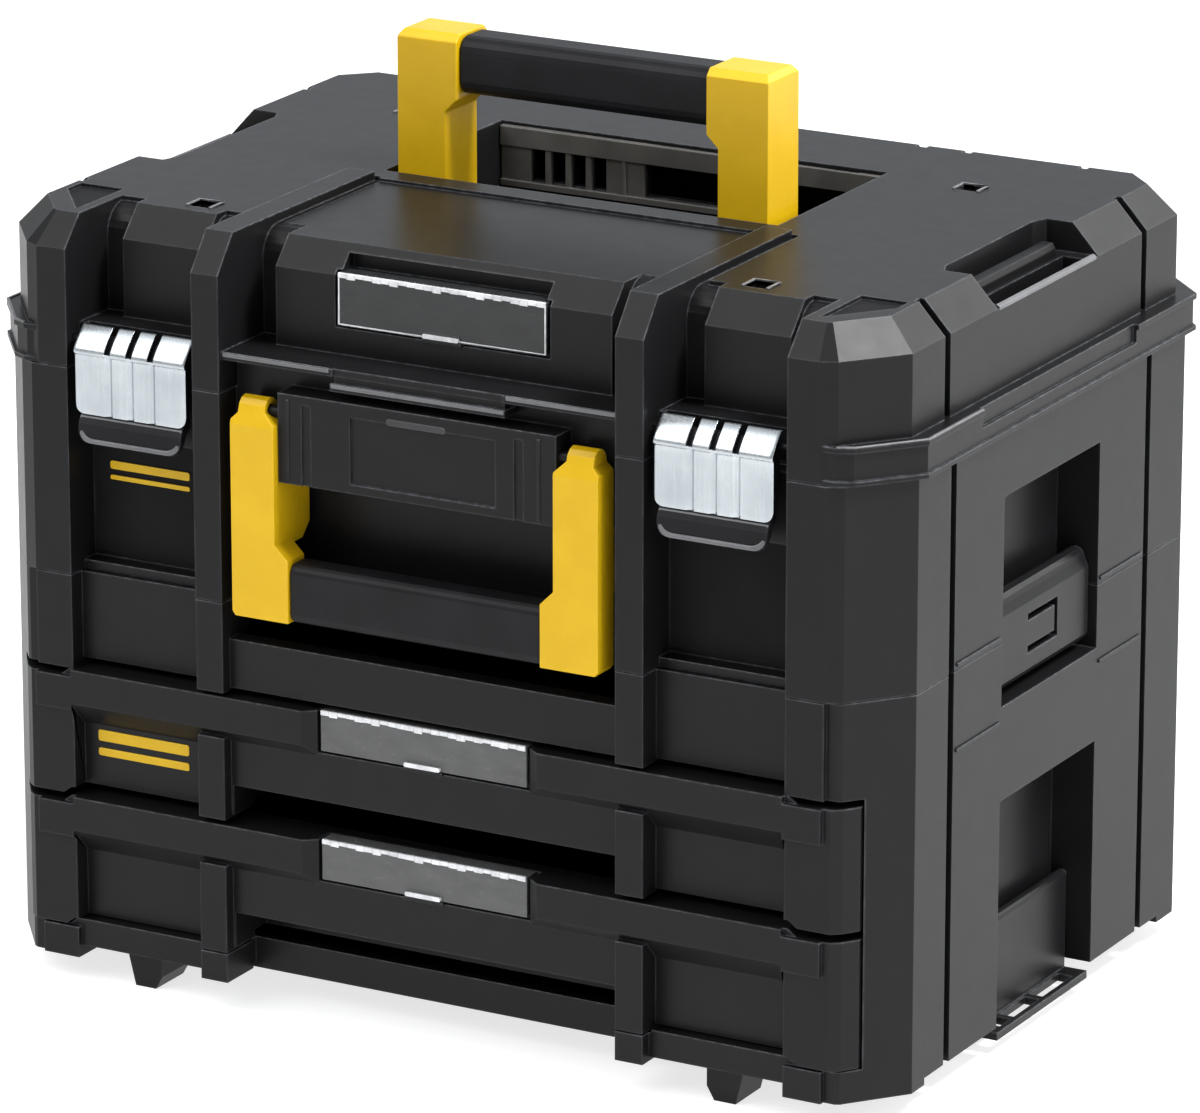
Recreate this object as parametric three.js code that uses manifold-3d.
// Stacking tool chest in two clipped modules: a two-drawer unit below and a lidded tool case above.
// Millimetres, +Z up, the front faces -Y. The origin is on the floor under the middle of the chest.
// Heights in the source are measured from a datum plane just above the floor; see DATUM_Z.
import * as THREE from "three";
import { mergeGeometries, mergeVertices } from "three/addons/utils/BufferGeometryUtils.js";
import Module from "manifold-3d";

const wasm = await Module();
wasm.setup();

// ---------- driving dimensions ----------
const GAP = 0.3;                   // clearance between pieces that touch
const WALL = 4;                    // moulded wall

// plan of the modules
const BODY_X = 213.5;               // half width of both modules
const BODY_FRONT = -152;           // face of the front corner pillars
const BODY_BACK = 146;             // back face of both modules
const MID_Y = -1;                  // middle of the body, front to back
const CORNER_X = 20;               // corner facet, across
const CORNER_Y = 25;               // corner facet, front to back
const FLANGE_X = 217.5;            // half width of the lid flange
const FLANGE_BACK = 148;
const LID_X = 210;                 // half width of the lid above its flange
const LID_BACK = 143;

// heights above the datum
const DATUM_Z = 3;                 // the datum plane's own height above the floor
const SKIRT_Z = 7;                 // underside of the corners
const FOOT_H = 10;                 // underside of the floor, the sides and the pillars
const STRIP_Z = 12;                // underside of the fixed strip below the drawers
const CASE_Z = 24;                 // top of that strip
const DRAWER_SPLIT_Z = 82;         // joint between the two drawers
const DRAWER_TOP_Z = 139.5;        // joint between the upper drawer and the fixed band
const SEAM_Z = 178;                // joint between the two modules
const LID_Z = 268.5;               // joint between the tool case and its lid
const LIP_Z = 282.3;               // underside of the lip over the front handle
const FLANGE_TOP_Z = 284.5;
const BEVEL_Z = 319;               // lower edge of the lid's bevel
const LID_TOP_Z = 332;
const WINDOW_TOP_Z = 320;          // top of the label window on the lid
const LID_WINDOW = 22;             // heights of the label windows
const DRAWER_WINDOW = 17.5;
const BEVEL_IN = 12;               // how far the bevel steps in
const BEAD = 1;                    // beads along both edges of the flange

// front relief
const PILLAR_IN = 93;              // inner pillars, inner and outer edge
const PILLAR_OUT = 106;
const PILLAR_PROUD = 3;
const CORNER_IN = 169;             // inner edge of the corner pillars
const BAY_Y = -141.5;              // back of the latch bays
const LID_BAY_Y = -126;            // face of the lid above the latches
const CENTRE_Y = -132;             // face of the lid between the inner pillars
const TROUGH_Y = -119;             // back of the troughs beside the pillars of the lid
const LOW_BAY_Y = -133;            // back of the latch bays below the latches
const LOW_BAY_TOP = 238;
const BAND_Y = -149.5;             // face of the drawers and of the fixed band
const PANEL_Y = -144;              // the same between the inner pillars and the corners
const CREST_Y = -154.4;            // face of the raised band along the top of a drawer
const SILL_Y = -132;               // face of the strip below the drawers, between the pillars
const HAND_Y = -124.5;             // back of the hand recess behind the front handle
const HAND_TOP = 234;

// sides
const GROOVE_Y = 91.5;               // vertical grooves, from the middle of the body
const GROOVE_W = 5;
const GROOVE_DEEP = 5;
const RECESS_Y = 45;               // half width of the side recesses
const RECESS_X = 194;              // back of the side recesses
const UPPER_RECESS_TOP = 240;
const LOWER_RECESS_TOP = 109;
const CLIP_POCKET_Z = 150;         // bottom of the pocket the upper stacking latch clips into

// drawers and their slides
const BAY_X = 190;                 // half width of the drawer opening
const BOX_X = 176.5;               // half width of a drawer box
const BOX_BACK = 122;
const FRONT_BACK_Y = -134;         // back face of a drawer front
const TRAY_FRONT = -121;           // inner face of a drawer's front wall
const FINGER_Y = -125;             // back of the finger room under a drawer's middle band
const FRONT_X = 198.5;             // half width of a drawer front
const STEP_X = 173;                // beyond this a drawer front sits lower by STEP_H
const STEP_H = 3;
const DRAWER_WALL = 2.5;
const RAIL_FRONT = -128;
const RAIL_LENGTH = 248;

// joints
const HINGE = { y: 153, z: 271.5, knuckle: 4.5, pin: 1.6 };
const LATCH = { y: -146.8, z: 280.5, pin: 1.3, width: 54, x: 137 };
const FRONT_HANDLE = { y: -150, z: 263, pin: 2.5 };
const TOP_HANDLE = { y: -3, z: 318, pin: 3, half: 13.5, top: 394 };
const WELL = { x: 94, front: -18, back: 82, floor: 303 };
const UPPER_CLIP = { x: 203, z: 190, pin: 1.5 };
const LOWER_CLIP = { x: 200, z: 48, pin: 1.3 };

// ---------- materials ----------
const plastic = (color) => new THREE.MeshStandardMaterial({ color, roughness: 0.55, metalness: 0 });
const steel = (color) => new THREE.MeshStandardMaterial({ color, roughness: 0.35, metalness: 0.9 });
const BLACK = plastic(0x26272a);
const GRIP_BLACK = plastic(0x1c1d20);
const YELLOW = plastic(0xe8c62e);
const CLEAR = new THREE.MeshStandardMaterial({ color: 0xb9bcc0, roughness: 0.2, metalness: 0 });
const CARD = new THREE.MeshStandardMaterial({ color: 0x8d8f90, roughness: 0.9, metalness: 0 });
const ZINC = steel(0xd6dadd);
const RAIL = steel(0xa9adb2);

// ---------- solids ----------
function solid(geometry) {
  const bare = geometry.index ? geometry.toNonIndexed() : geometry.clone();
  bare.deleteAttribute("normal");
  bare.deleteAttribute("uv");
  const merged = mergeVertices(mergeGeometries([bare]), 1e-4);
  return new wasm.Manifold(new wasm.Mesh({
    numProp: 3,
    vertProperties: new Float32Array(merged.attributes.position.array),
    triVerts: new Uint32Array(merged.index.array),
  }));
}

// A box between two corners.
function box(x0, x1, y0, y1, z0, z1) {
  const geometry = new THREE.BoxGeometry(x1 - x0, y1 - y0, z1 - z0);
  return solid(geometry.translate((x0 + x1) / 2, (y0 + y1) / 2, (z0 + z1) / 2));
}

// The same box on both sides of the middle plane x = 0.
const boxPair = (x0, x1, y0, y1, z0, z1) =>
  box(x0, x1, y0, y1, z0, z1).add(box(-x1, -x0, y0, y1, z0, z1));

// An outline in plan, raised from z0 to z1.
function raise(points, z0, z1) {
  const geometry = new THREE.ExtrudeGeometry(outline(points), { depth: z1 - z0, bevelEnabled: false });
  return solid(geometry.translate(0, 0, z0));
}

// An outline of (y, z) points, swept across from x0 to x1.
function across(points, x0, x1) {
  const geometry = new THREE.ExtrudeGeometry(outline(points), { depth: x1 - x0, bevelEnabled: false });
  const turn = new THREE.Matrix4().set(0, 0, 1, x0, 1, 0, 0, 0, 0, 1, 0, 0, 0, 0, 0, 1);
  return solid(geometry.applyMatrix4(turn));
}

// An outline of (x, z) points, swept back from y0 to y1.
function along(points, y0, y1) {
  const geometry = new THREE.ExtrudeGeometry(outline(points), { depth: y1 - y0, bevelEnabled: false });
  const turn = new THREE.Matrix4().set(1, 0, 0, 0, 0, 0, -1, y1, 0, 1, 0, 0, 0, 0, 0, 1);
  return solid(geometry.applyMatrix4(turn));
}

const outline = (points) => new THREE.Shape(points.map(([a, b]) => new THREE.Vector2(a, b)));

// A round bar along X or Y.
function barX(x0, x1, y, z, radius, sides = 14) {
  const bar = new THREE.CylinderGeometry(radius, radius, x1 - x0, sides).rotateZ(Math.PI / 2);
  return solid(bar.translate((x0 + x1) / 2, y, z));
}

function barY(y0, y1, x, z, radius, sides = 14) {
  const bar = new THREE.CylinderGeometry(radius, radius, y1 - y0, sides);
  return solid(bar.translate(x, (y0 + y1) / 2, z));
}

// Points of an arc about (a, b), in degrees, both ends included.
function arc(a, b, radius, from, to, steps) {
  return Array.from({ length: steps + 1 }, (_, i) => {
    const angle = THREE.MathUtils.degToRad(from + ((to - from) * i) / steps);
    return [a + radius * Math.cos(angle), b + radius * Math.sin(angle)];
  });
}

function cut(base, ...tools) {
  return tools.reduce((left, tool) => left.subtract(tool), base);
}

function join(base, ...extras) {
  return extras.reduce((left, extra) => left.add(extra), base);
}

const mirrored = (shape) => shape.mirror([1, 0, 0]);

// ---------- scene ----------
const group = new THREE.Group();
const chest = new THREE.Group();
chest.position.z = DATUM_Z;
group.add(chest);

function place(name, shape, material) {
  const mesh = shape.getMesh();
  const geometry = new THREE.BufferGeometry();
  geometry.setAttribute("position", new THREE.BufferAttribute(mesh.vertProperties, 3));
  geometry.setIndex(new THREE.BufferAttribute(mesh.triVerts, 1));
  geometry.computeVertexNormals();
  const node = new THREE.Mesh(geometry, material);
  node.name = name;
  chest.add(node);
}

// One piece on the right side and its mirror image on the left.
function placePair(name, shape, material) {
  place(`${name}_right`, shape, material);
  place(`${name}_left`, mirrored(shape), material);
}

// ---------- shared outlines ----------
// Plan of a module, its corners cut by a long facet and a short one at the front.
function plan(halfX, front, back) {
  const right = [
    [halfX - CORNER_X - 7, front],
    [halfX - CORNER_X, front + 3.5],
    [halfX, front + CORNER_Y + 3.5],
    [halfX, back - CORNER_Y + 5],
    [halfX - CORNER_X, back],
  ];
  const left = right.map(([x, y]) => [-x, y]).reverse();
  return [...right, ...left];
}

const bodyPlan = plan(BODY_X, BODY_FRONT, BODY_BACK);

// Grooves down both sides.
function sideGrooves(halfX, z0, z1) {
  const cuts = [-GROOVE_Y, GROOVE_Y].map((offset) => {
    const y = MID_Y + offset;
    return boxPair(halfX - GROOVE_DEEP, halfX + 9, y - GROOVE_W / 2, y + GROOVE_W / 2, z0, z1);
  });
  return cuts[0].add(cuts[1]);
}

// Proud pillars on the front, from z0 to z1.
const innerPillars = (z0, z1) =>
  boxPair(PILLAR_IN, PILLAR_OUT, BODY_FRONT - PILLAR_PROUD, FRONT_BACK_Y, z0, z1);

const cornerPillars = (z0, z1) =>
  boxPair(CORNER_IN, BODY_X - CORNER_X - 7, BODY_FRONT, FRONT_BACK_Y, z0, z1);

// An (x, z) outline whose two ends sit lower than its middle.
function stepped(halfX, z0, z1) {
  const upper = [[halfX, z1 - STEP_H], [STEP_X + 2, z1 - STEP_H], [STEP_X - 2, z1]];
  const lower = [[halfX, z0 - STEP_H], [STEP_X + 2, z0 - STEP_H], [STEP_X - 2, z0]];
  const flip = ([x, z]) => [-x, z];
  return [...lower.toReversed(), ...upper, ...upper.toReversed().map(flip), ...lower.map(flip)];
}

// ---------- drawer unit ----------
function drawerCase() {
  const back = BODY_BACK - WALL;
  const floorZ = FOOT_H + WALL;
  const faceX = BODY_X - CORNER_X;
  const shape = cut(
    raise(bodyPlan, SKIRT_Z, SEAM_Z - GAP),
    box(-faceX, faceX, BODY_FRONT - 5, BAND_Y, 0, SEAM_Z),
    boxPair(PILLAR_OUT, CORNER_IN, BODY_FRONT - 5, PANEL_Y, DRAWER_TOP_Z - 1, SEAM_Z),
    along(stepped(FRONT_X + 1, CASE_Z, DRAWER_TOP_Z), BODY_FRONT - 5, FRONT_BACK_Y + GAP),
    box(-BAY_X, BAY_X, FRONT_BACK_Y, back, CASE_Z, DRAWER_TOP_Z),
    box(-BAY_X, BAY_X, SILL_Y + WALL, back, floorZ, CASE_Z + 1),
    box(-BAY_X, BAY_X, BAND_Y + 2 * WALL, back, DRAWER_TOP_Z + WALL, SEAM_Z),
    sidePockets(floorZ, DRAWER_TOP_Z),
    undersides(),
  );
  const fronted = join(
    shape,
    innerPillars(FOOT_H, CASE_Z),
    cornerPillars(SKIRT_Z, CASE_Z - STEP_H - GAP),
    innerPillars(DRAWER_TOP_Z - 1.2, SEAM_Z - GAP),
    cornerPillars(DRAWER_TOP_Z - STEP_H, SEAM_Z - GAP),
  );
  const opened = cut(
    fronted,
    sideGrooves(BODY_X, 0, SEAM_Z),
    boxPair(RECESS_X, BODY_X + 9, MID_Y - RECESS_Y, MID_Y + RECESS_Y, 0, LOWER_RECESS_TOP),
    boxPair(RECESS_X, BODY_X + 9, MID_Y - RECESS_Y, MID_Y + RECESS_Y, CLIP_POCKET_Z, SEAM_Z),
    box(-PILLAR_IN, PILLAR_IN, BODY_FRONT - 9, BAND_Y + WALL + 5, SEAM_Z - 17, SEAM_Z),
    box(-PILLAR_IN, PILLAR_IN, BODY_FRONT - 9, SILL_Y, 0, CASE_Z + 1),
    boxPair(PILLAR_IN - 1, PILLAR_OUT + 1, BODY_FRONT - 9, FRONT_BACK_Y + GAP, CASE_Z - 1.2, CASE_Z + 1),
    clipPin(LOWER_CLIP, LOWER_CLIP.pin + GAP),
  );
  const keeper = boxPair(RECESS_X - 1, RECESS_X + 5, MID_Y - RECESS_Y + 6, MID_Y + RECESS_Y - 6, 158, 161);
  return join(opened, keeper, feet());
}

// Everything below the floor and the front strip, between the four corners.
function undersides() {
  return join(
    box(-CORNER_IN, CORNER_IN, BODY_FRONT - 5, BODY_BACK + 5, 0, FOOT_H),
    box(-BODY_X - 5, BODY_X + 5, -112, 110, 0, FOOT_H),
    box(-CORNER_IN, CORNER_IN, BODY_FRONT - 5, SILL_Y, 0, STRIP_Z),
  );
}

// Hollows in both side walls, in front of the side recess and behind it.
function sidePockets(z0, z1) {
  const outer = BODY_X - GROOVE_DEEP - 3.5;
  const front = boxPair(BAY_X - 1, outer, -116, MID_Y - RECESS_Y - 5, z0, z1);
  const rear = boxPair(BAY_X - 1, outer, MID_Y + RECESS_Y + 5, BODY_BACK - 20, z0, z1);
  return front.add(rear);
}

// Four short feet, wider at the top than at the floor.
function feet() {
  const leg = [[131, STRIP_Z + 1], [131, 3], [134.5, -DATUM_Z], [144.5, -DATUM_Z], [148.5, STRIP_Z + 1]];
  const front = along(leg, -146, -124);
  const rear = along(leg, 112, 134);
  return join(front, rear, mirrored(front), mirrored(rear));
}

// One drawer: a moulded front with a finger grip under its middle band, and the box behind.
function drawer(z0, z1) {
  const floor = z0 + 3;
  const rim = z1 - 5;
  const grip = z1 - 40;
  const handRoom = box(-PILLAR_IN + 1, PILLAR_IN - 1, BODY_FRONT - 9, FINGER_Y, z0 - 1, grip);
  const fingerHook = box(-PILLAR_IN + 3, PILLAR_IN - 3, BAND_Y + WALL, FINGER_Y, z0 - 1, grip + 14);
  const windowSeat = join(
    box(-50.5, 50.5, BODY_FRONT - 9, BAND_Y + 2, z1 - DRAWER_WINDOW - 1, z1 + 1),
    box(-50.5, 50.5, BODY_FRONT - 9, BAND_Y + 8.6, z1 - 1.1, z1 + 1),
  );
  const tray = cut(
    box(-BOX_X, BOX_X, FRONT_BACK_Y - 1, BOX_BACK, floor, rim),
    box(-BOX_X + DRAWER_WALL, BOX_X - DRAWER_WALL, TRAY_FRONT, BOX_BACK - DRAWER_WALL,
      floor + DRAWER_WALL, rim + 1),
    ...[-115, 115].map((x) => dividerSlots(x, floor, rim)),
  );
  return cut(join(drawerFront(z0, z1), tray), handRoom, fingerHook, windowSeat);
}

// The moulded front: flat panels, pillars, and a raised band along the top that slopes back below.
function drawerFront(z0, z1) {
  const right = [
    [CORNER_IN, BAND_Y], [CORNER_IN, BODY_FRONT], [FRONT_X - 8.5, BODY_FRONT], [FRONT_X - 4.6, BODY_FRONT + 3],
    [FRONT_X, BODY_FRONT + 9.5], [FRONT_X, FRONT_BACK_Y],
  ];
  const left = right.map(([x, y]) => [-x, y]).reverse();
  const panel = raise([...right, ...left], z0 - STEP_H, z1)
    .intersect(along(stepped(FRONT_X, z0, z1), BODY_FRONT - 9, FRONT_BACK_Y))
    .subtract(boxPair(PILLAR_OUT, CORNER_IN, BODY_FRONT - 9, PANEL_Y, z0 - 5, z1 - 15));
  const slope = across([
    [FRONT_BACK_Y, z1 - 26], [PANEL_Y, z1 - 26], [CREST_Y, z1 - 15], [CREST_Y, z1], [FRONT_BACK_Y, z1],
  ], 50, STEP_X - 4);
  const slopeEnd = raise([
    [50, FRONT_BACK_Y], [50, BAND_Y], [56, CREST_Y], [STEP_X, CREST_Y], [STEP_X, FRONT_BACK_Y],
  ], z0, z1);
  const crest = slope.intersect(slopeEnd);
  return join(
    panel,
    crest,
    mirrored(crest),
    boxPair(STEP_X - 4, 186.5, CREST_Y, FRONT_BACK_Y, z1 - 18, z1 - STEP_H),
    boxPair(PILLAR_IN, PILLAR_OUT, BODY_FRONT - PILLAR_PROUD, FRONT_BACK_Y, z0 - 1.2, z1 - 18),
  );
}

// Slots in the inner faces of the drawer's front and back walls, which hold one divider.
function dividerSlots(x, floor, rim) {
  const z0 = floor + DRAWER_WALL;
  const front = box(x - 1.3, x + 1.3, TRAY_FRONT - 1.2, TRAY_FRONT + 8, z0, rim + 1);
  const back = box(x - 1.3, x + 1.3, BOX_BACK - 8, BOX_BACK - DRAWER_WALL + 1.2, z0, rim + 1);
  return front.add(back);
}

function divider(x, z0, z1) {
  const y0 = TRAY_FRONT - 0.9;
  const y1 = BOX_BACK - DRAWER_WALL + 0.9;
  return box(x - 1, x + 1, y0, y1, z0 + 3 + DRAWER_WALL + GAP, z1 - 9);
}

// Clear label window: folded back along its top, a clip at its lower edge, and the card behind it.
function labelWindow(z1, face, height) {
  const z0 = z1 - height;
  const sheet = across([
    [face - 0.4, z0], [face + 1.2, z0], [face + 1.2, z1 - 0.8], [face + 8, z1 - 0.8],
    [face + 8, z1 + 0.4], [face - 0.4, z1 + 0.4],
  ], -49, 49);
  return join(sheet, box(-8, 8, face - 1.6, face, z0, z0 + 2.5));
}

const labelCard = (z1, face, height) => box(-47, 47, face + 1.4, face + 1.75, z1 - height + 1, z1 - 2);

// C-section rails of a ball-bearing slide on the right side; depth is measured from the case wall.
function rail(webX, reach, half, z) {
  const skin = 1.2;
  const toX = webX + reach;
  const [x0, x1] = [Math.min(webX, toX), Math.max(webX, toX)];
  const hollow = reach > 0 ? [x0 + skin, x1 + 1] : [x0 - 1, x1 - skin];
  const back = RAIL_FRONT + RAIL_LENGTH;
  return cut(
    box(x0, x1, RAIL_FRONT, back, z - half, z + half),
    box(hollow[0], hollow[1], RAIL_FRONT - 1, back + 1, z - half + skin, z + half - skin),
  );
}

// ---------- tool case ----------
function toolCase() {
  const back = BODY_BACK - WALL;
  const floorZ = SEAM_Z + WALL;
  const shape = join(
    raise(bodyPlan, SEAM_Z, LID_Z - GAP),
    box(-PILLAR_IN + 0.6, PILLAR_IN - 0.6, BAY_Y, BAY_Y + WALL - 0.6, LID_Z - 2, LIP_Z - 2 * GAP),
    boxPair(PILLAR_IN, PILLAR_OUT, BODY_FRONT - PILLAR_PROUD, BODY_FRONT + 2, SEAM_Z, LID_Z - GAP),
    caseKnuckles(),
  );
  const handWall = box(-PILLAR_IN - 3, PILLAR_IN + 3, BAY_Y, HAND_Y + 3.5, SEAM_Z, HAND_TOP + WALL);
  const bayWalls = boxPair(PILLAR_OUT - 3, CORNER_IN + 3, BAY_Y, LOW_BAY_Y + WALL, SEAM_Z, LOW_BAY_TOP + WALL);
  const room = join(
    box(-BAY_X, BAY_X, BAY_Y + WALL, back, floorZ, LID_Z + 20),
    sidePockets(floorZ, LID_Z + 1),
  ).subtract(handWall.add(bayWalls));
  return join(
    cut(
      shape,
      room,
      boxPair(PILLAR_OUT, CORNER_IN, BODY_FRONT - 9, BAY_Y, SEAM_Z - 1, LID_Z + 1),
      boxPair(PILLAR_OUT, CORNER_IN, BODY_FRONT - 9, LOW_BAY_Y, SEAM_Z + 4, LOW_BAY_TOP),
      box(-PILLAR_IN, PILLAR_IN, BODY_FRONT - 9, BAY_Y, SEAM_Z - 1, LIP_Z),
      box(-PILLAR_IN, PILLAR_IN, BODY_FRONT - 9, HAND_Y, SEAM_Z + 3, HAND_TOP),
      sideGrooves(BODY_X, SEAM_Z - 1, LID_Z + 1),
      boxPair(RECESS_X, BODY_X + 9, MID_Y - RECESS_Y, MID_Y + RECESS_Y, SEAM_Z - 1, UPPER_RECESS_TOP),
      hingePin(HINGE.pin + GAP),
      clipPin(UPPER_CLIP, UPPER_CLIP.pin + GAP),
    ),
    handlePanel().subtract(frontHandlePin(FRONT_HANDLE.pin + GAP)),
    boxPair(117, 157, BAY_Y - 3.3, BAY_Y + 1, LATCH.z - 26.5, LATCH.z - 22.5),
  );
}

// Raised panel between the arms of the front handle, which holds the handle's pins.
function handlePanel() {
  const block = box(-65.4, 65.4, BODY_FRONT - 2, BAY_Y + 1, HAND_TOP, LIP_Z - 10);
  return cut(
    block,
    box(-31, 37, BODY_FRONT - 9, BODY_FRONT - 1, HAND_TOP + 4, LIP_Z - 16),
    box(-54, -50, BODY_FRONT - 9, BODY_FRONT - 1.2, HAND_TOP - 1, LIP_Z - 14),
    box(46, 50, BODY_FRONT - 9, BODY_FRONT - 1.2, HAND_TOP - 1, LIP_Z - 14),
  );
}

// Hinge knuckles on the case, two on each side.
function caseKnuckles() {
  const { y, z, knuckle } = HINGE;
  const section = [
    [BODY_BACK - 1, z - 16], [BODY_BACK + 3, z - 16], [y + knuckle, z - 6],
    ...arc(y, z, knuckle, 0, 180, 6), [y - knuckle, LID_Z - 0.8], [BODY_BACK - 1, LID_Z - 0.8],
  ];
  const pair = join(across(section, 100, 115), across(section, 145, 160));
  return pair.add(mirrored(pair));
}

// The lid's knuckle, between the case's two on each side.
function lidKnuckles() {
  const { y, z, knuckle } = HINGE;
  const section = [
    ...arc(y, z, knuckle, -90, 90, 6), [FLANGE_BACK - 2, z + knuckle], [FLANGE_BACK - 2, LID_Z + GAP],
    [y - 2, LID_Z + GAP],
  ];
  const right = across(section, 115.4, 144.6);
  return right.add(mirrored(right));
}

function hingePin(radius) {
  const right = barX(99, 161, HINGE.y, HINGE.z, radius, 12);
  return right.add(mirrored(right));
}

// Lid: flange, upright walls, bevelled top, handle well, sockets for the next module's latches.
function lid() {
  const front = BODY_FRONT;
  const top = new THREE.ExtrudeGeometry(outline(plan(LID_X, front, LID_BACK)), {
    depth: BEVEL_Z - LID_Z, bevelEnabled: true, bevelSegments: 1,
    bevelThickness: LID_TOP_Z - BEVEL_Z, bevelSize: BEVEL_IN, bevelOffset: -BEVEL_IN,
  });
  const walls = solid(top.translate(0, 0, LID_Z)).subtract(box(-300, 300, -300, 300, 0, LID_Z));
  const ridges = boxPair(PILLAR_IN, PILLAR_OUT, front - PILLAR_PROUD, -28, LID_Z, LID_TOP_Z + 2)
    .subtract(ridgeBevel());
  const shape = cut(
    join(walls, flange(), ridges),
    boxPair(PILLAR_OUT, CORNER_IN, front - 9, BAY_Y, LID_Z - 1, LID_TOP_Z + 5),
    boxPair(PILLAR_OUT, CORNER_IN, front - 9, LID_BAY_Y, FLANGE_TOP_Z + 1, LID_TOP_Z + 5),
    recessBevel(PILLAR_OUT, CORNER_IN, LID_BAY_Y),
    mirrored(recessBevel(PILLAR_OUT, CORNER_IN, LID_BAY_Y)),
    box(-PILLAR_IN, PILLAR_IN, front - 9, CENTRE_Y, FLANGE_TOP_Z + 1, LID_TOP_Z + 5),
    recessBevel(-PILLAR_IN, PILLAR_IN, CENTRE_Y),
    box(-PILLAR_IN, PILLAR_IN, front - 9, BAY_Y + WALL, LID_Z - 1, LIP_Z),
    box(-PILLAR_IN + 2, PILLAR_IN - 2, front - 9, -30, LID_TOP_Z - 1.5, LID_TOP_Z + 5),
    troughs(),
    sideGrooves(LID_X, FLANGE_TOP_Z, LID_TOP_Z + 1),
    sideGrooves(LID_X - BEVEL_IN + 3, BEVEL_Z - 4, LID_TOP_Z + 1),
    rearNotches(),
    wellWindows(),
    box(-WELL.x, WELL.x, WELL.front, WELL.back, WELL.floor, LID_TOP_Z + 1),
    boxPair(LATCH.x - 29, LATCH.x + 29, front - 9, BAY_Y + 3, LATCH.z - 9, LATCH.z + 9),
    lidRoom(),
    sockets(),
    lidNotches(),
    cornerSeats(),
  );
  return cut(
    join(shape, frontLip(), lidKnuckles()),
    windowPocket(),
    hingePin(HINGE.pin + GAP),
    latchPin(LATCH.pin + GAP),
    topHandlePin(TOP_HANDLE.pin + GAP),
    caseKnuckleRoom(),
  );
}

// Band round the lid's lower edge with a bead along its top and its bottom, lower along the sides.
function flange() {
  const face = BODY_FRONT + 0.6;
  const band = join(
    raise(plan(FLANGE_X - BEAD, face + BEAD, FLANGE_BACK - BEAD), LID_Z, FLANGE_TOP_Z),
    raise(plan(FLANGE_X, face, FLANGE_BACK), LID_Z, LID_Z + 2),
    raise(plan(FLANGE_X, face, FLANGE_BACK), FLANGE_TOP_Z - 2.4, FLANGE_TOP_Z),
  );
  return band.subtract(
    boxPair(FLANGE_X - 2.5, FLANGE_X + 9, MID_Y - 72, MID_Y + 72, FLANGE_TOP_Z - 8, FLANGE_TOP_Z + 1),
  );
}

// Lip over the front handle: its middle hangs lower than its ends.
function frontLip() {
  const back = CENTRE_Y + 2;
  return join(
    boxPair(40, PILLAR_IN, BODY_FRONT - 1, back, LIP_Z, LIP_Z + 3.2),
    box(-40, 40, BODY_FRONT + 1, BAY_Y - 0.6, LIP_Z - 6.3, LIP_Z + 3.2),
    box(-41, 41, BODY_FRONT + 1, back, LIP_Z, LIP_Z + 3.2),
    box(-41, 41, BODY_FRONT - 1, BAY_Y - 0.6, LIP_Z - 6.3, LIP_Z - 3.1),
  );
}

// Slopes the top of a recess in the lid's front wall like the lid's own bevel.
function recessBevel(x0, x1, y) {
  return across([
    [y - 30, BEVEL_Z], [y, BEVEL_Z], [y + BEVEL_IN, LID_TOP_Z], [y + BEVEL_IN, LID_TOP_Z + 9],
    [y - 30, LID_TOP_Z + 9],
  ], x0, x1);
}

// Deep troughs beside the pillars, which run up the front, round over, and on along the ridges.
function troughs() {
  const radius = 12;
  const low = FLANGE_TOP_Z + 1;
  const high = LID_TOP_Z - 2;
  const section = [
    [BODY_FRONT - 14, low], [TROUGH_Y, low],
    ...arc(TROUGH_Y + radius, high - radius, radius, 180, 90, 6),
    [TROUGH_Y + radius, LID_TOP_Z + 9], [BODY_FRONT - 14, LID_TOP_Z + 9],
  ];
  const right = join(
    across(section, PILLAR_OUT, PILLAR_OUT + 12),
    across(section, CORNER_IN - 12, CORNER_IN),
    across(section, PILLAR_IN - 14, PILLAR_IN),
    box(PILLAR_OUT, PILLAR_OUT + 3.5, TROUGH_Y + radius - 1, -28, high, LID_TOP_Z + 5),
    box(PILLAR_IN - 3.5, PILLAR_IN, TROUGH_Y + radius - 1, -28, high, LID_TOP_Z + 5),
  );
  return right.add(mirrored(right));
}

// Seat of the lid's label window and the dark slot above it.
function windowPocket() {
  const top = WINDOW_TOP_Z;
  return join(
    box(-50.5, 50.5, BODY_FRONT - 9, CENTRE_Y + 2, top - LID_WINDOW - 1, top + 1),
    box(-50.5, 50.5, BODY_FRONT - 9, CENTRE_Y + 8.6, top - 1.1, top + 1),
    box(-48, 48, BODY_FRONT - 9, CENTRE_Y + 11, top, LID_TOP_Z - 5),
  );
}

// Notches across the rear edge of the lid top.
function rearNotches() {
  const cuts = [[84, 89], [106, 110], [161, 165]].map(([x0, x1]) =>
    boxPair(x0, x1, LID_BACK - BEVEL_IN - 3, LID_BACK + 9, BEVEL_Z + 2, LID_TOP_Z + 1));
  return join(...cuts);
}

// Openings in the back wall of the handle well: a row of narrow ones and two wide ones.
function wellWindows() {
  const [y0, y1] = [WELL.back - 1, WELL.back + WALL + 1];
  const narrow = [-78, -68, -58, -48].map((x) => box(x, x + 6, y0, y1, 307, 321));
  const wide = box(-22, 18, y0, y1, 307, 321).add(box(48, 80, y0, y1, 307, 321));
  return join(wide, ...narrow);
}

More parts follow.
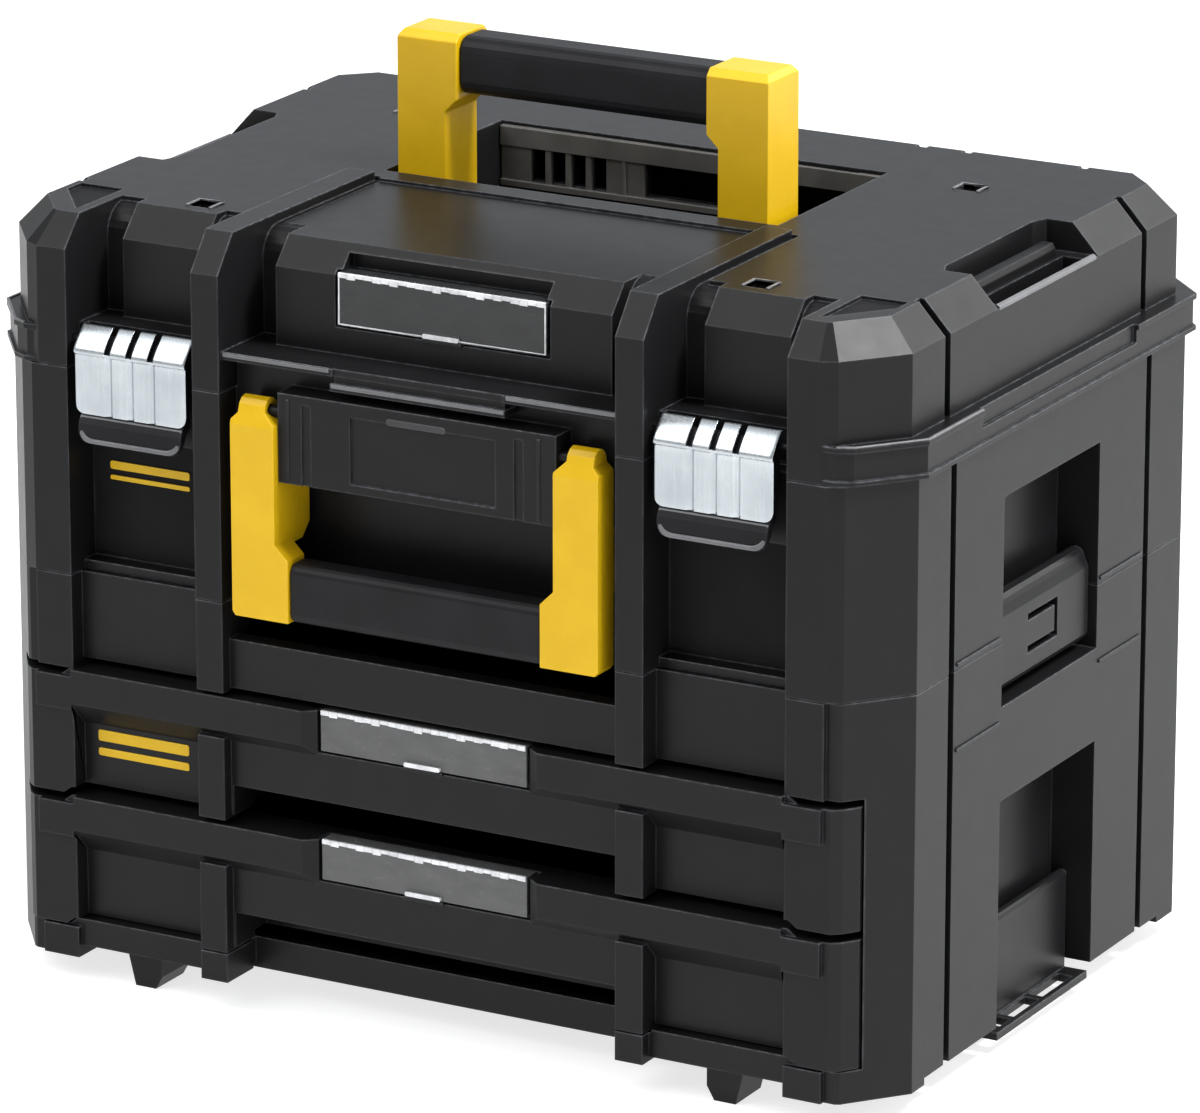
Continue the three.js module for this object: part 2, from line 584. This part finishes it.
// Slopes the front end of the two ridges like the lid's bevel.
function ridgeBevel() {
  const foot = BODY_FRONT - PILLAR_PROUD;
  const crest = BODY_FRONT + 10;
  return across([
    [foot - 15, BEVEL_Z - 1], [foot, BEVEL_Z - 1], [crest, LID_TOP_Z + 2.5],
    [crest, LID_TOP_Z + 30], [foot - 15, LID_TOP_Z + 30],
  ], -120, 120);
}

// The hollow under the lid: one low room and four raised ones round the handle well.
function lidRoom() {
  const ceiling = LID_TOP_Z - 7;
  const front = -115;
  return join(
    raise(plan(LID_X - 9, -128, LID_BACK - WALL), LID_Z - 1, 281),
    raise(plan(LID_X - 9, front, LID_BACK - WALL), LID_Z - 1, 296),
    box(-182, 182, front, WELL.front - WALL, 290, ceiling),
    boxPair(WELL.x + WALL, 182, front, 128, 290, ceiling),
    box(-182, 182, WELL.back + WALL, 128, 290, ceiling),
  );
}

// Sockets on both sides of the lid top.
function sockets() {
  const pocket = [[-47, 186], [-40, 183], [40, 183], [47, 186]].map(([y, x]) => [x, y + MID_Y]);
  const wide = raise([...pocket, [LID_X + 9, MID_Y + 47], [LID_X + 9, MID_Y - 47]], BEVEL_Z, LID_TOP_Z + 3);
  const slot = box(197, LID_X - 3.5, MID_Y - 40, MID_Y + 40, 302, BEVEL_Z + 1);
  const right = wide.add(slot);
  return right.add(mirrored(right));
}

// Shallow seats in the front corners of the lid top, for the feet of the next module.
function cornerSeats() {
  const inner = raise(plan(LID_X - 15, BODY_FRONT + 15, LID_BACK), LID_TOP_Z - 1.6, LID_TOP_Z + 3);
  const right = raise([[174, -150], [240, -150], [240, -98], [174, -98]], LID_TOP_Z - 3, LID_TOP_Z + 5);
  return inner.intersect(right.add(mirrored(right)));
}

// Small square holes in the lid top.
function lidNotches() {
  const front = boxPair(126, 136, -108, -98, LID_TOP_Z - 4, LID_TOP_Z + 3);
  const rear = boxPair(131, 141, 71, 80, LID_TOP_Z - 4, LID_TOP_Z + 3);
  return front.add(rear);
}

// Room in the lid flange for the case's knuckles.
function caseKnuckleRoom() {
  return join(
    boxPair(99.5, 115.4, FLANGE_BACK - 0.6, FLANGE_BACK + 12, LID_Z - 1, LID_Z + 9),
    boxPair(144.6, 160.5, FLANGE_BACK - 0.6, FLANGE_BACK + 12, LID_Z - 1, LID_Z + 9),
  );
}

// ---------- front latches ----------
function latchLever() {
  const { y, z, width, x } = LATCH;
  const half = width / 2 - 2;
  const section = [
    [-155.6, z - 42], [-154.2, z - 43], [-150.2, z - 33.5], [-147.4, z - 31.5], [-147.2, z - 21.9],
    [-145, z - 18.5], ...arc(y, z, 2.5, 0, 135, 5), [-153, z - 4.3], [-153, z - 30.9], [-154.8, z - 34.5],
  ];
  const face = along([
    ...arc(x - half + 6, z - 37, 6, 180, 270, 4), ...arc(x + half - 6, z - 37, 6, 270, 360, 4),
    [x + half, z + 9], [x - half, z + 9],
  ], -160, -140);
  return cut(
    across(section, x - half, x + half).intersect(face),
    barX(x - 40, x + 40, y, z, LATCH.pin + GAP, 12),
  );
}

// Bent metal cover: a flat plate with a sloped strip above, split into four tabs.
function latchPlate() {
  const { z, width, x } = LATCH;
  const half = width / 2;
  const bend = z - 2.7;
  const sheet = across([
    [-154.5, z - 30.5], [-154.5, bend], [-146.6, z + 6.6], [-145.8, z + 5.7], [-153.3, bend - 0.5],
    [-153.3, z - 30.5],
  ], x - half, x + half);
  const notches = [-10.5, 0, 10.5].map((offset) => {
    const middle = x + offset;
    const groove = box(middle - 1.5, middle + 1.5, -156, -153.9, z - 34, bend - 2);
    return groove.add(box(middle - 1.6, middle + 1.6, -156, -140, bend + 0.5, z + 16));
  });
  return cut(sheet, ...notches);
}

function latchPin(radius) {
  const right = barX(104.5, 170.5, LATCH.y, LATCH.z, radius, 12);
  return right.add(mirrored(right));
}

// ---------- handles ----------
// Arm of the folding handle on the lid; its foot is round so that it can turn in the well.
function topHandleArm() {
  const { y, z, half, top } = TOP_HANDLE;
  const face = along([
    [65, z - half], [88.5, z - half], [88.5, top - 3], [86.5, top], [59.5, top], [59.5, top - 28], [65, top - 33.5],
  ], y - half, y + half);
  const side = across([
    ...arc(y, z, half, 180, 360, 10), [y + half, top - 3], [y + half - 3, top], [y - half + 3, top],
    [y - half, top - 3],
  ], 50, 95);
  return cut(face.intersect(side), topHandlePin(TOP_HANDLE.pin + GAP));
}

// A grip bar along X with rounded edges.
function gripBar(half, y0, y1, z0, z1, radius) {
  const corners = [[y1, z1, 0], [y0, z1, 90], [y0, z0, 180], [y1, z0, 270]];
  const section = corners.flatMap(([y, z, from]) => {
    const cy = y === y1 ? y - radius : y + radius;
    const cz = z === z1 ? z - radius : z + radius;
    return arc(cy, cz, radius, from, from + 90, 4);
  });
  return across(section, -half, half);
}

function topHandlePin(radius) {
  const right = barX(70, 97.6, TOP_HANDLE.y, TOP_HANDLE.z, radius);
  return right.add(mirrored(right));
}

// Arm of the front handle: narrow neck at the pivot, a web behind its middle, a foot for the grip.
function frontHandleArm() {
  const { y, z, pin } = FRONT_HANDLE;
  const face = along([
    [59.5, 174.5], [85, 174.5], [86.5, 176.5], [86.5, z - 4], [83.5, z - 1], [83.5, z + 5.5], [71, z + 5.5],
    [71, z], [65.7, z - 5], [65.7, 207.5], [59.5, 201.5],
  ], BODY_FRONT - 5.5, BAY_Y - 2.5);
  const side = across([
    [-157.5, 170], [-144, 170], [-144, z - 3], ...arc(y, z, 5.5, 0, 150, 5), [-157.5, z - 6],
  ], 50, 95);
  const web = across([[-146, 205], [-135, 205], [-129, 211], [-129, 231], [-146, 231]], 65.7, 84);
  return cut(join(face.intersect(side), web), barX(50, 82.5, y, z, pin + GAP));
}

function frontHandlePin(radius) {
  const right = barX(60, 82, FRONT_HANDLE.y, FRONT_HANDLE.z, radius);
  return right.add(mirrored(right));
}

// ---------- stacking latches on the sides ----------
// Upper one: a plate across the seam with a slotted tongue and a toe under the keeper.
function upperClip() {
  const { x, z, pin } = UPPER_CLIP;
  const half = RECESS_Y - 2;
  const plate = along([
    [201, 154], [208, 154], [210, 157], [210, 186], ...arc(x + 1, z, 4.2, 0, 180, 6), [201, 184],
    [201, 158], [197, 157.4], [197, 154],
  ], MID_Y - half, MID_Y + half);
  const slots = join(
    box(195, 214, MID_Y - 14, MID_Y + 14, 178, 181),
    box(195, 214, MID_Y - 14, MID_Y + 14, 164, 167),
    box(195, 214, MID_Y + 11, MID_Y + 14, 164, 181),
  );
  return cut(plate, slots, barY(MID_Y - 60, MID_Y + 60, x, z, pin + GAP, 12));
}

// Lower one: stowed against the back of its recess, its open hook just clear of the floor.
function lowerClip() {
  const { x, z, pin } = LOWER_CLIP;
  const half = RECESS_Y - 2;
  const plate = along([
    [197.5, 3.5], [213, 3.5], [213, 7], [202.5, 7], [202.5, 46], ...arc(x, z, 2.6, 0, 180, 6),
    [197.5, 46],
  ], MID_Y - half, MID_Y + half);
  const windows = [[-36, -26.5], [-23, 0.5], [4.5, 32.5]].map(([y0, y1]) => box(203.8, 210.3, y0, y1, 0, 9));
  return cut(plate, ...windows, barY(MID_Y - 60, MID_Y + 60, x, z, pin + GAP, 12));
}

// Pins of a stacking latch on both sides.
function clipPin({ x, z }, radius) {
  const right = barY(MID_Y - RECESS_Y - 3, MID_Y + RECESS_Y + 3, x, z, radius, 12);
  return right.add(mirrored(right));
}

const rightHalf = (shape) => shape.intersect(box(0, 400, -400, 400, -10, 600));

// ---------- assembly ----------
place("drawer_case", drawerCase(), BLACK);

const drawers = [
  { name: "top", z0: DRAWER_SPLIT_Z + 1.5, z1: DRAWER_TOP_Z - 3 },
  { name: "bottom", z0: CASE_Z + 0.6, z1: DRAWER_SPLIT_Z - 2 },
];
for (const { name, z0, z1 } of drawers) {
  place(`drawer_${name}`, drawer(z0, z1), BLACK);
  place(`drawer_${name}_label_window`, labelWindow(z1, BAND_Y, DRAWER_WINDOW), CLEAR);
  place(`drawer_${name}_label_card`, labelCard(z1, BAND_Y, DRAWER_WINDOW), CARD);
  placePair(`drawer_${name}_divider`, divider(115, z0, z1), BLACK);
  const railZ = (z0 + z1) / 2 - 1;
  placePair(`drawer_${name}_rail_fixed`, rail(BAY_X - GAP, -7, 17.5, railZ), RAIL);
  placePair(`drawer_${name}_rail_middle`, rail(BAY_X - 3, -7, 15.5, railZ), RAIL);
  placePair(`drawer_${name}_rail_inner`, rail(BOX_X + GAP, 7, 11, railZ), RAIL);
}
placePair("stack_latch_lower", lowerClip(), BLACK);
placePair("stack_latch_lower_pin", rightHalf(clipPin(LOWER_CLIP, LOWER_CLIP.pin)), ZINC);

place("tool_case_shell", toolCase(), BLACK);
placePair("stack_latch_upper", upperClip(), BLACK);
placePair("stack_latch_upper_pin", rightHalf(clipPin(UPPER_CLIP, UPPER_CLIP.pin)), ZINC);
placePair("front_handle_arm", frontHandleArm(), YELLOW);
place("front_handle_grip", gripBar(59.2, -156.5, -142, 174.5, 200, 4), GRIP_BLACK);
placePair("front_handle_pin", rightHalf(frontHandlePin(FRONT_HANDLE.pin)), BLACK);

place("lid_shell", lid(), BLACK);
placePair("lid_hinge_pin", rightHalf(hingePin(HINGE.pin)), ZINC);
place("lid_label_window", labelWindow(WINDOW_TOP_Z, CENTRE_Y, LID_WINDOW), CLEAR);
place("lid_label_card", labelCard(WINDOW_TOP_Z, CENTRE_Y, LID_WINDOW), CARD);
placePair("latch_lever", latchLever(), GRIP_BLACK);
placePair("latch_plate", latchPlate(), ZINC);
placePair("latch_pin", rightHalf(latchPin(LATCH.pin)), ZINC);
placePair("top_handle_arm", topHandleArm(), YELLOW);
place("top_handle_grip", gripBar(59.2, -14.5, 8.5, TOP_HANDLE.top - 26, TOP_HANDLE.top - 1, 6), GRIP_BLACK);
placePair("top_handle_pin", rightHalf(topHandlePin(TOP_HANDLE.pin)), ZINC);

export default group;
